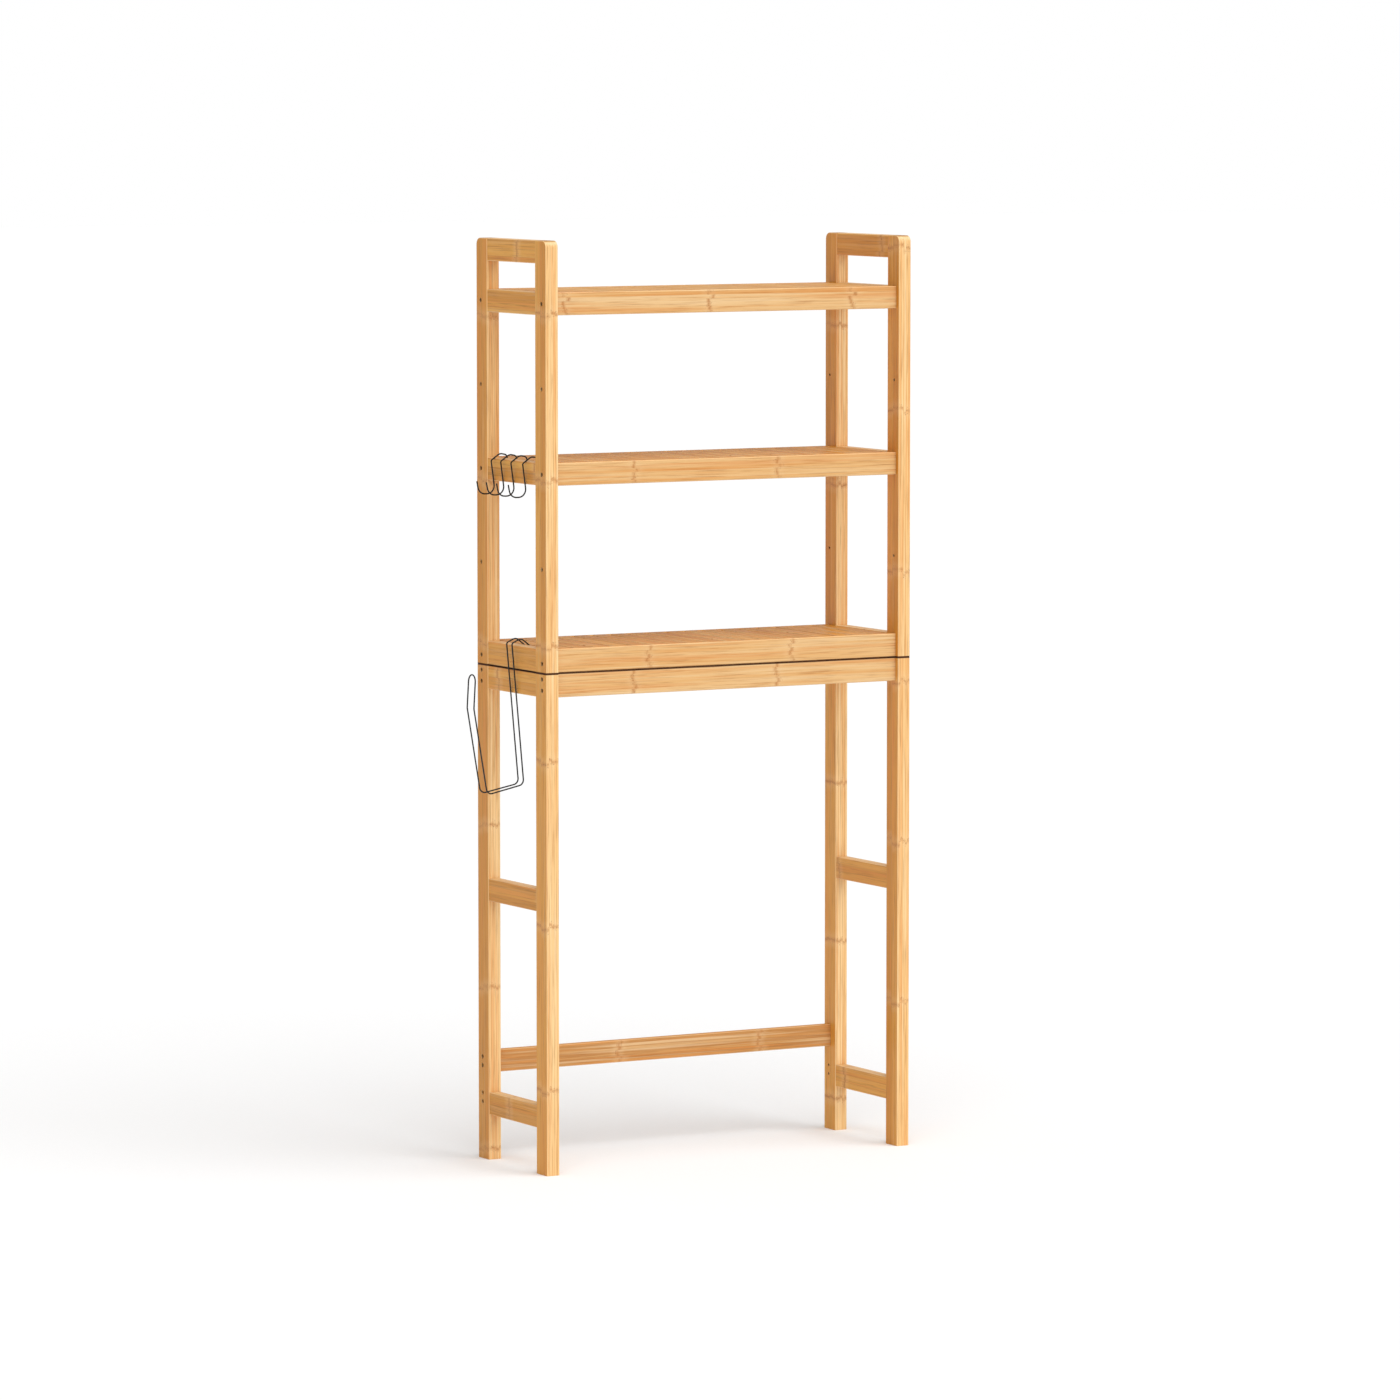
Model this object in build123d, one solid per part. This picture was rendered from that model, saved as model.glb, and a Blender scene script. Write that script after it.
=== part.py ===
from build123d import *
import os

# Over-the-toilet storage rack: two bamboo side frames in an upper and a lower section,
# three slatted shelves, a low rear stretcher, four S-hooks and a wire roll holder.
# X runs to the right, Y to the back and Z up. The origin is on the floor, midway
# between the four legs. All sizes are millimetres.

# overall size
rack_width = 740.0
rack_depth = 260.0
rack_height = 1640.0
seam_height = 885.0          # the upper section stands on the legs here
seam_relief = 0.6            # rails next to the seam stop this short of it
seam_chamfer = 0.8           # broken edge on each post end at the seam

# stock sizes
post_width = 25.0            # along X
post_depth = 40.0            # along Y
side_rail_thickness = 22.0   # centred in the post width
rail_height = 40.0
seam_rail_height = 42.0      # the two taller rails that meet at the seam
beam_thickness = 14.0
beam_setback = 9.0           # beam face behind the post face
edge_radius = 2.0            # rounded long edges of every bar
post_top_radius = 12.0       # outer top corner of each side frame

# shelf surfaces above the floor
top_shelf_height = 1550.0
middle_shelf_height = 1253.0
lowest_shelf_height = seam_height + seam_relief + seam_rail_height

# lower section, undersides above the floor
lower_middle_rail_bottom = 464.0
lower_bottom_rail_bottom = 81.0
stretcher_bottom = 154.0

# slats
slat_count = 18
slat_width = 26.0
slat_thickness = 8.0
slat_edge_radius = 1.0
rabbet_width = 7.0           # ledge cut in each beam that carries the slat ends

# hex-socket furniture screws
screw_diameter = 5.0
screw_hole_clearance = 0.2   # on the diameter
screw_grip = 34.0            # length in the beam
screw_head_diameter = 7.4
screw_head_height = 4.0
counterbore_diameter = 8.0
counterbore_depth = 7.0
hex_socket_size = 3.0
hex_socket_depth = 2.5
screw_tip_length = 4.0
top_screw_height = 1530.0
middle_screw_height = 1233.0
lowest_screw_height = 902.0
spare_screw_heights = (1382.0, 1067.0)   # other places for the middle shelf
lower_beam_screw_heights = (855.0, 875.0)
stretcher_screw_heights = (167.0, 183.0)
stretcher_drop = 65.0        # the stretcher can be refitted this much lower

# wooden dowels and pins
dowel_diameter = 8.0
dowel_length = 28.0
dowel_hole_clearance = 0.2
dowel_hole_relief = 0.5      # each hole is this much deeper than half a dowel
dowel_inset = 10.0           # from the rail's edge to the dowel's axis
seam_dowel_offsets = (19.0, 33.0)        # from the seam, clear of the pins
pin_length = 24.0
pin_from_inner_face = 8.0    # from the post's inner face to the pin's axis

# S-hooks of round wire, hung over the left rail of the middle shelf
hook_wire_diameter = 2.6
hook_places = (64.5, 28.5, -10.0, -54.0)

# roll holder of round wire, hung over the left rail of the lowest shelf
holder_wire_diameter = 2.6
leg_spacing = 20.0           # between the axes of the two legs
prong_spacing = 25.5         # between the axes of the two prongs
holder_place = -9.0

# worked-out places
half_width = rack_width / 2
half_depth = rack_depth / 2
inner_width = rack_width - 2 * post_width
post_inner_y = half_depth - post_depth
rail_inset = (post_width - side_rail_thickness) / 2
rail_outer_x = half_width - rail_inset
rail_inner_x = rail_outer_x - side_rail_thickness
beam_outer_y = half_depth - beam_setback
beam_inner_y = beam_outer_y - beam_thickness
screw_y = (beam_outer_y + beam_inner_y) / 2
seam_rail_bottom = seam_height + seam_relief
lower_rail_top = seam_height - seam_relief

shelves = {
    "top_shelf": (top_shelf_height, rail_height, top_screw_height),
    "middle_shelf": (middle_shelf_height, rail_height, middle_screw_height),
    "lowest_shelf": (lowest_shelf_height, seam_rail_height, lowest_screw_height),
}
sides = {"left": -1, "right": 1}
ends = {"front": -1, "back": 1}
corners = [(side, end) for side in sides for end in ends]

parts = {}


def box_between(low, high):
    """A box from its lowest corner to its highest."""
    size = [b - a for a, b in zip(low, high)]
    middle = [(a + b) / 2 for a, b in zip(low, high)]
    return Pos(*middle) * Box(*size)


def bar(low, high, along):
    """A box whose four long edges are rounded."""
    body = box_between(low, high)
    return fillet(body.edges().filter_by(along), edge_radius)


def mirrored(side_sign, near, far):
    """The span from near to far on one side of the middle plane, lowest first."""
    return sorted((side_sign * near, side_sign * far))


def hole_along_x(x0, x1, y, z, diameter):
    middle = ((x0 + x1) / 2, y, z)
    return Pos(*middle) * Rot(0, 90, 0) * Cylinder(diameter / 2, abs(x1 - x0))


def hole_along_y(y0, y1, x, z, diameter):
    middle = (x, (y0 + y1) / 2, z)
    return Pos(*middle) * Rot(90, 0, 0) * Cylinder(diameter / 2, abs(y1 - y0))


def hole_along_z(z0, z1, x, y, diameter):
    return Pos(x, y, (z0 + z1) / 2) * Cylinder(diameter / 2, abs(z1 - z0))


def screw_hole(side_sign, y, z):
    """A counterbored through hole, drilled from the outer face of a post."""
    outer_x = side_sign * half_width
    step_x = side_sign * (half_width - counterbore_depth)
    inner_x = side_sign * (half_width - post_width)
    bore = hole_along_x(outer_x, inner_x, y, z, screw_diameter + screw_hole_clearance)
    return bore + hole_along_x(outer_x, step_x, y, z, counterbore_diameter)


def dowel_heights(bottom, height, seam_side=0):
    """Heights of the two dowels in a rail end; rails at the seam keep clear of the pins."""
    if seam_side:
        return [seam_height + seam_side * offset for offset in seam_dowel_offsets]
    return [bottom + dowel_inset, bottom + height - dowel_inset]


# every side rail: name, underside, height, dowel heights
upper_rails = [("handle_rail", rack_height - rail_height, rail_height,
                dowel_heights(rack_height - rail_height, rail_height))]
for shelf, (surface, height, _) in shelves.items():
    bottom = surface - height
    at_seam = 1 if shelf == "lowest_shelf" else 0
    upper_rails.append((f"{shelf}_rail", bottom, height, dowel_heights(bottom, height, at_seam)))

lower_top_bottom = lower_rail_top - seam_rail_height
lower_rails = [
    ("lower_top_rail", lower_top_bottom, seam_rail_height,
     dowel_heights(lower_top_bottom, seam_rail_height, -1)),
    ("lower_middle_rail", lower_middle_rail_bottom, rail_height,
     dowel_heights(lower_middle_rail_bottom, rail_height)),
    ("lower_bottom_rail", lower_bottom_rail_bottom, rail_height,
     dowel_heights(lower_bottom_rail_bottom, rail_height)),
]


def dowel_holes(side_sign, end_sign, heights, into_post):
    """Blind holes in a post's inner face, or in a rail's end, for that rail's dowels."""
    depth = dowel_length / 2 + dowel_hole_relief
    face_y = end_sign * post_inner_y
    bottom_y = face_y + end_sign * depth * (1 if into_post else -1)
    x = side_sign * (half_width - post_width / 2)
    diameter = dowel_diameter + dowel_hole_clearance
    return [hole_along_y(face_y, bottom_y, x, z, diameter) for z in heights]


def pin_axis(side_sign, end_sign):
    x = side_sign * (half_width - post_width / 2)
    y = end_sign * (post_inner_y + pin_from_inner_face)
    return x, y


def pin_hole(side_sign, end_sign, direction):
    """The blind hole for a seam pin, up into a post or down into a leg."""
    x, y = pin_axis(side_sign, end_sign)
    depth = pin_length / 2 + dowel_hole_relief
    z_end = seam_height + direction * depth
    return hole_along_z(seam_height, z_end, x, y, dowel_diameter + dowel_hole_clearance)


# upper posts and lower legs
def upright_blank(side_sign, end_sign, z0, z1):
    """A post or leg with rounded long edges and a broken edge at the seam. The rounding
    of an upper post carries on over its rounded outer top corner."""
    x0, x1 = mirrored(side_sign, half_width - post_width, half_width)
    y0, y1 = mirrored(end_sign, post_inner_y, half_depth)
    body = box_between((x0, y0, z0), (x1, y1, z1))
    is_upper = z1 == rack_height
    if is_upper:
        top_edges = body.edges().filter_by(Axis.X).group_by(Axis.Z)[-1].sort_by(Axis.Y)
        outer_edge = top_edges[-1] if end_sign > 0 else top_edges[0]
        body = fillet(outer_edge, post_top_radius)
    plain_ends = [z0] if is_upper else [z0, z1]
    outline = [edge for face in body.faces().filter_by(Axis.X) for edge in face.edges()
               if all(abs(edge.center().Z - z) > edge_radius for z in plain_ends)]
    body = fillet(outline, edge_radius)
    seam_face = body.faces().sort_by(Axis.Z)[0 if is_upper else -1]
    return chamfer(seam_face.edges(), seam_chamfer)


def upright(side, end, z0, z1, screw_heights, rails, pin_direction):
    side_sign = sides[side]
    end_sign = ends[end]
    body = upright_blank(side_sign, end_sign, z0, z1)
    cuts = [screw_hole(side_sign, end_sign * screw_y, z) for z in screw_heights]
    for _, _, _, heights in rails:
        cuts += dowel_holes(side_sign, end_sign, heights, into_post=True)
    cuts.append(pin_hole(side_sign, end_sign, pin_direction))
    return body - cuts


upper_screw_heights = [screw for _, _, screw in shelves.values()]
upper_screw_heights += spare_screw_heights
for side, end in corners:
    parts[f"upper_post_{end}_{side}"] = upright(side, end, seam_height, rack_height,
                                                upper_screw_heights, upper_rails, 1)

    leg_screw_heights = list(lower_beam_screw_heights)
    if end == "back":
        leg_screw_heights += stretcher_screw_heights
        leg_screw_heights += [z - stretcher_drop for z in stretcher_screw_heights]
    parts[f"leg_{end}_{side}"] = upright(side, end, 0, seam_height, leg_screw_heights,
                                         lower_rails, -1)


# side rails, butted between the posts
def side_rail(side_sign, bottom, height, heights):
    x0, x1 = mirrored(side_sign, rail_inner_x, rail_outer_x)
    body = bar((x0, -post_inner_y, bottom), (x1, post_inner_y, bottom + height), Axis.Y)
    cuts = []
    for end_sign in ends.values():
        cuts += dowel_holes(side_sign, end_sign, heights, into_post=False)
    return body - cuts


for side, side_sign in sides.items():
    for name, bottom, height, heights in upper_rails + lower_rails:
        parts[f"{name}_{side}"] = side_rail(side_sign, bottom, height, heights)


# beams between the two side frames
def beam(end_sign, bottom, height, screw_heights, rabbet):
    """A beam with a pilot hole in each end for every screw height."""
    y0, y1 = mirrored(end_sign, beam_inner_y, beam_outer_y)
    half_length = inner_width / 2
    body = bar((-half_length, y0, bottom), (half_length, y1, bottom + height), Axis.X)
    y = end_sign * screw_y
    diameter = screw_diameter + screw_hole_clearance
    cuts = []
    for side_sign in sides.values():
        near = side_sign * half_length
        far = side_sign * (half_length - screw_grip)
        cuts += [hole_along_x(near, far, y, z, diameter) for z in screw_heights]
    if rabbet:
        ry0, ry1 = mirrored(end_sign, beam_inner_y, beam_inner_y + rabbet_width)
        top = bottom + height
        cuts.append(box_between((-half_length, ry0, top - slat_thickness), (half_length, ry1, top)))
    return body - cuts


for shelf, (surface, height, screw_height) in shelves.items():
    for end, end_sign in ends.items():
        parts[f"{shelf}_{end}_beam"] = beam(end_sign, surface - height, height,
                                            [screw_height], rabbet=True)

for end, end_sign in ends.items():
    parts[f"lower_{end}_beam"] = beam(end_sign, lower_top_bottom, seam_rail_height,
                                      lower_beam_screw_heights, rabbet=False)

parts["rear_stretcher"] = beam(ends["back"], stretcher_bottom, rail_height,
                               stretcher_screw_heights, rabbet=False)


# slats, laid front to back with their ends in the beams' rabbets
slat_gap = (2 * rail_inner_x - slat_count * slat_width) / (slat_count + 1)


def slat_set(surface):
    end_y = beam_inner_y + rabbet_width
    slats = []
    for number in range(slat_count):
        x0 = -rail_inner_x + slat_gap + number * (slat_width + slat_gap)
        slat = box_between((x0, -end_y, surface - slat_thickness),
                           (x0 + slat_width, end_y, surface))
        top_edges = slat.edges().filter_by(Axis.Y).group_by(Axis.Z)[-1]
        slats.append(fillet(top_edges, slat_edge_radius))
    return Compound(slats)


for shelf, (surface, _, _) in shelves.items():
    parts[f"{shelf}_slats"] = slat_set(surface)


# dowels of each side frame, and the pins across the seam
def frame_dowels(side_sign, rails):
    x = side_sign * (half_width - post_width / 2)
    half = dowel_length / 2
    dowels = []
    for _, _, _, heights in rails:
        for end_sign in ends.values():
            y = end_sign * post_inner_y
            dowels += [hole_along_y(y - half, y + half, x, z, dowel_diameter) for z in heights]
    return Compound(dowels)


for side, side_sign in sides.items():
    parts[f"upper_{side}_frame_dowels"] = frame_dowels(side_sign, upper_rails)
    parts[f"lower_{side}_frame_dowels"] = frame_dowels(side_sign, lower_rails)

seam_pins = []
for side, end in corners:
    pin_x, pin_y = pin_axis(sides[side], ends[end])
    seam_pins.append(hole_along_z(seam_height - pin_length / 2, seam_height + pin_length / 2,
                                  pin_x, pin_y, dowel_diameter))
parts["seam_pins"] = Compound(seam_pins)


# screws, heads sunk in the outer faces
def screw(side_sign, y, z):
    seat_x = half_width - counterbore_depth
    tip_x = half_width - post_width - screw_grip
    cone_x = tip_x + screw_tip_length
    body = hole_along_x(seat_x, cone_x, 0, 0, screw_diameter)
    body += Pos((tip_x + cone_x) / 2, 0, 0) * Rot(0, 90, 0) * Cone(
        screw_diameter / 4, screw_diameter / 2, screw_tip_length)
    head_x = seat_x + screw_head_height
    body += hole_along_x(seat_x, head_x, 0, 0, screw_head_diameter)
    socket = extrude(RegularPolygon(hex_socket_size / 2, 6, major_radius=False), hex_socket_depth)
    body -= Pos(head_x - hex_socket_depth, 0, 0) * Rot(0, 90, 0) * socket
    if side_sign < 0:
        body = body.rotate(Axis.Z, 180)
    return Pos(0, y, z) * body


def screw_set(end_signs, heights):
    return Compound([screw(side_sign, end_sign * screw_y, z)
                     for side_sign in sides.values()
                     for end_sign in end_signs
                     for z in heights])


for shelf, (_, _, screw_height) in shelves.items():
    parts[f"{shelf}_screws"] = screw_set(ends.values(), [screw_height])
parts["lower_beam_screws"] = screw_set(ends.values(), lower_beam_screw_heights)
parts["stretcher_screws"] = screw_set([ends["back"]], stretcher_screw_heights)


# wire pieces
def wire_along(path, diameter):
    section = Plane(origin=path @ 0, z_dir=path % 0) * Circle(diameter / 2)
    return sweep(section, path=path)


def s_hook(y):
    """An S-hook in the XZ plane: over the rail, down its outer face, and out in a wide loop."""
    outer = -rail_outer_x
    inner = -rail_inner_x
    top = middle_shelf_height
    bottom = top - rail_height
    points = [
        (inner + 2.9, top - 10.0),       # inner end, in the gap beside the first slat
        (inner + 2.9, top + 5.2),
        (inner - 11.5, top + 8.2),       # highest bend
        (outer - 7.0, top - 3.8),        # outer bend; the shank leans in from here
        (outer + 1.0, bottom - 22.5),    # bottom of the loop
        (outer - 31.0, bottom - 22.5),
        (outer - 35.5, bottom + 0.5),    # open tip
    ]
    radii = [6.0, 12.0, 4.0, 14.0, 14.0]
    path = FilletPolyline(*[(x, y, z) for x, z in points], radius=radii)
    return wire_along(path, hook_wire_diameter)


for number, place in enumerate(hook_places, start=1):
    parts[f"s_hook_{number}"] = s_hook(place)


def roll_holder(y):
    """One bent wire: two parallel legs and two prongs set a little wider apart, joined by a
    round end at the top of the prongs and another on the inner side of the rail."""
    outer = -rail_outer_x
    inner = -rail_inner_x
    top = lowest_shelf_height
    leg = leg_spacing / 2
    prong = prong_spacing / 2
    side_profile = [
        (inner + 3.0, leg, top - 16.0),      # inner end, in the gap beside the first slat
        (inner + 3.0, leg, top - 1.2),
        (inner - 14.0, leg, top + 12.0),     # highest bend; it comes down on the rail's edge
        (outer - 10.5, leg, top + 4.0),      # outer bend; the legs lean in from here
        (outer + 12.5, leg, top - 246.0),    # foot of the legs
        (outer - 61.5, prong, top - 261.0),  # foot of the prongs
        (outer - 87.5, prong, top - 108.0),  # kink in the prongs
        (outer - 84.0, prong, top - 49.0),   # top of the prongs
    ]
    half = [(x, y + aside, z) for x, aside, z in side_profile]
    first = (half[0][0], y, half[0][2])
    last = (half[-1][0], y, half[-1][2])
    end_straight = 0.2                       # left straight across the middle plane
    radii = [leg - end_straight, 5.0, 10.0, 5.0, 10.0, 10.0, 15.0, prong - end_straight]
    path = FilletPolyline(first, *half, last, radius=radii)
    half_wire = wire_along(path, holder_wire_diameter)
    return half_wire + mirror(half_wire, about=Plane.XZ.offset(-y))


parts["roll_holder"] = roll_holder(holder_place)

os.makedirs("parts", exist_ok=True)
for name, shape in parts.items():
    export_step(shape, f"parts/{name}.step")
print(f"{len(parts)} parts written")
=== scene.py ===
import math

import bmesh
import bpy
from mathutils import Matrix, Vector


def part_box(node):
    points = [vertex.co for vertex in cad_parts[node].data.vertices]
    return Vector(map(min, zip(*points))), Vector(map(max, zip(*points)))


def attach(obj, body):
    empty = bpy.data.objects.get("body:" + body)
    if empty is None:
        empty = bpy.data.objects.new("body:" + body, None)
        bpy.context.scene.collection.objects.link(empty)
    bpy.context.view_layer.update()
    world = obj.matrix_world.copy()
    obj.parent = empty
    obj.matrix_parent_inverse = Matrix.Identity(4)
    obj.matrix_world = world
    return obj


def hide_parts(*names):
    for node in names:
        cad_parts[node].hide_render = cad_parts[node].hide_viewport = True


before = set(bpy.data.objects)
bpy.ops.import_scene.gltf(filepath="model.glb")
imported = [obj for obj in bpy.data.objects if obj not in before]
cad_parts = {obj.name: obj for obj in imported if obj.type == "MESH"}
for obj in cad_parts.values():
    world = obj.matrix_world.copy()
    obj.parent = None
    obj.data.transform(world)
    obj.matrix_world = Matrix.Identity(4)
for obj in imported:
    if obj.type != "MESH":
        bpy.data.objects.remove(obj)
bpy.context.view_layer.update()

mm = 0.001
print("frame loaded:", len(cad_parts), "nodes")

calc = "ShaderNodeMath"
remap = "ShaderNodeMapRange"


def hexColour(text, alpha=1.0):
    # sRGB hex to the linear colour that a socket takes
    linear = []
    for i in (0, 2, 4):
        c = int(text[i:i + 2], 16) / 255
        linear.append(c / 12.92 if c <= 0.04045 else ((c + 0.055) / 1.055) ** 2.4)
    return (*linear, alpha)


def addNode(tree, kind, inputs=None, **settings):
    # inputs maps a socket's name or number to a value, an output, or a node's first live output
    node = tree.nodes.new(kind)
    for key, value in settings.items():
        setattr(node, key, value)
    for key, value in (inputs or {}).items():
        if isinstance(value, bpy.types.Node):
            value = next(socket for socket in value.outputs if socket.enabled)
        if isinstance(value, bpy.types.NodeSocket):
            tree.links.new(value, node.inputs[key])
        else:
            node.inputs[key].default_value = value
    return node


def startMaterial(name):
    # an empty principled material and the coordinates that its patterns follow
    material = bpy.data.materials.new(name)
    material.use_nodes = True
    tree = material.node_tree
    return material, tree, tree.nodes["Principled BSDF"], addNode(tree, "ShaderNodeTexCoord")


def nodeNames(part):
    return sorted(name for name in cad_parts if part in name)


# camera, floor and light

cameraSetup = {
    "place": (-6.3005, -11.2355, 1.9836),
    "turnLeft": -0.5118,          # radians from looking along +Y
    "tiltDown": 0.0906,
    "lens": 186.2,                # on a 36 mm sensor
}

studio = {
    "floorHalfWidth": 60.0,
    "floorHex": ("F3F3F3", "F6F6F6"),
    "backdropHex": "FFFFFF",
    "backdropStrength": 1.0,      # what the camera sees behind the floor
    "ambientStrength": 0.5,       # what the backdrop gives as light
    "keyFrom": (0.10, -0.75, 1.05),
    "keyStrength": 2.5,
    "keySoftness": 1.2,           # radians across, as a wide softbox
    "keyHex": "FFFFFF",
}


def makeCamera():
    data = bpy.data.cameras.new("mainCamera")
    data.sensor_width = 36.0
    data.lens = cameraSetup["lens"]
    data.clip_end = 200.0
    camera = bpy.data.objects.new("mainCamera", data)
    bpy.context.scene.collection.objects.link(camera)
    camera.location = cameraSetup["place"]
    camera.rotation_euler = (math.pi / 2 - cameraSetup["tiltDown"], 0, cameraSetup["turnLeft"])
    bpy.context.scene.camera = camera


def floorMaterial():
    # matt painted studio floor: a pale even sheet with a faint roller texture
    material, tree, shader, place = startMaterial("mattStudioPaint")
    shader.inputs["Roughness"].default_value = 0.9
    shader.inputs["Specular IOR Level"].default_value = 0.2
    stipple = addNode(tree, "ShaderNodeTexNoise",
                      {"Vector": place.outputs["Object"], "Scale": 90.0, "Detail": 3.0})
    low, high = studio["floorHex"]
    tone = addNode(tree, "ShaderNodeMix", {0: stipple, 6: hexColour(low), 7: hexColour(high)},
                   data_type="RGBA")
    tree.links.new(tone.outputs[2], shader.inputs["Base Color"])
    return material


def makeStudio():
    half = studio["floorHalfWidth"]
    mesh = bpy.data.meshes.new("studioFloor")
    corners = [(-half, -half, 0), (half, -half, 0), (half, half, 0), (-half, half, 0)]
    mesh.from_pydata(corners, [], [(0, 1, 2, 3)])
    mesh.materials.append(floorMaterial())
    floor = bpy.data.objects.new("studioFloor", mesh)
    bpy.context.scene.collection.objects.link(floor)

    data = bpy.data.lights.new("keySoftbox", "SUN")
    data.energy = studio["keyStrength"]
    data.angle = studio["keySoftness"]
    data.color = hexColour(studio["keyHex"])[:3]
    lamp = bpy.data.objects.new("keySoftbox", data)
    bpy.context.scene.collection.objects.link(lamp)
    lamp.location = Vector(studio["keyFrom"]) * 4
    lamp.rotation_euler = (-Vector(studio["keyFrom"])).to_track_quat("-Z", "Y").to_euler()

    world = bpy.data.worlds.new("paleStudio")
    bpy.context.scene.world = world
    world.use_nodes = True
    tree = world.node_tree
    light = tree.nodes["Background"]
    light.inputs["Color"].default_value = hexColour(studio["backdropHex"])
    ray = addNode(tree, "ShaderNodeLightPath")
    seen = addNode(tree, remap, {0: ray.outputs["Is Camera Ray"],
                                 3: studio["ambientStrength"], 4: studio["backdropStrength"]})
    tree.links.new(seen.outputs[0], light.inputs["Strength"])
    bpy.context.scene.view_settings.view_transform = "Standard"


makeCamera()
makeStudio()
print("camera, floor and light made")


# laminated bamboo: lengths in mm

bamboo = {
    "stripThickness": 5.0,        # the narrow side of a strip, seen as edge grain
    "stripWidth": 20.0,           # the wide side, seen as flat grain
    "postShift": 10.0,            # puts the glue line on the middle of a post
    "railStripWidth": 13.3,
    "beamStripThickness": 6.7,
    "stretcherStripThickness": 5.7,
    "slatStrip": (8.0, 13.0),
    "edgeHex": ("EABA79", "EDC183", "F1CA90"),
    # flat-grain tones: partly the grain's own ochre, partly painted shade on the sides and tops that
    # show it
    "flatGrainShadedHex": ("CB872A", "D89537", "E1A346"),
    "stretcherShadeHex": ("B98147", "C28C50", "CB985B"),       # painted shade: darker tones for the low stretcher
    "streakHex": "DE8C3E",        # orange streaks of denser fibre
    "fibreHex": "A0601F",
    "glueHex": "985A1E",
    # pale fibre and knuckle glow, and the painted highlight on the rounded arrises
    "paleAndHighlightHex": "F8DDAE",
    "endHex": "B98547",
    "holeShadeHex": "5A2C08",         # painted shade: dark brown inside holes and narrow corners, where little light reaches
    # painted shade for the joint between the halves
    "seamShadeHex": "401800",
    "fibreSpacing": 2.2,          # the real fibres stand 0.4 mm apart, too fine to show
    "fibreLength": 90.0,
    "stripSlide": 37.0,           # at most, between strips, in fibre lengths
    "streakSpacing": 7.0,
    "streakLength": 420.0,
    "knucklePeriod": 290.0,       # between the joints of the cane
    "knuckleJitter": 11.0,
    "knuckleHalfLength": 5.0,
    "knuckleWave": 7.0,
    "knuckleWaveScale": 0.07,     # per mm
    "knuckleHex": "C07A38",
    "knuckleCoreHex": "8E5220",
    "barCell": 200.0,             # every bar lies inside one cell of this size across its length
    "barCellShift": 1000.0,
    "seamShadeHalfWidth": 1.8,         # painted shade: a dark line along the joint round the rack where the halves meet
    "shadeReach": 8.0,             # how far round a point nearby surfaces deepen the painted shade
}

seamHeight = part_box("leg_front_left")[1][2] / mm


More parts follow.
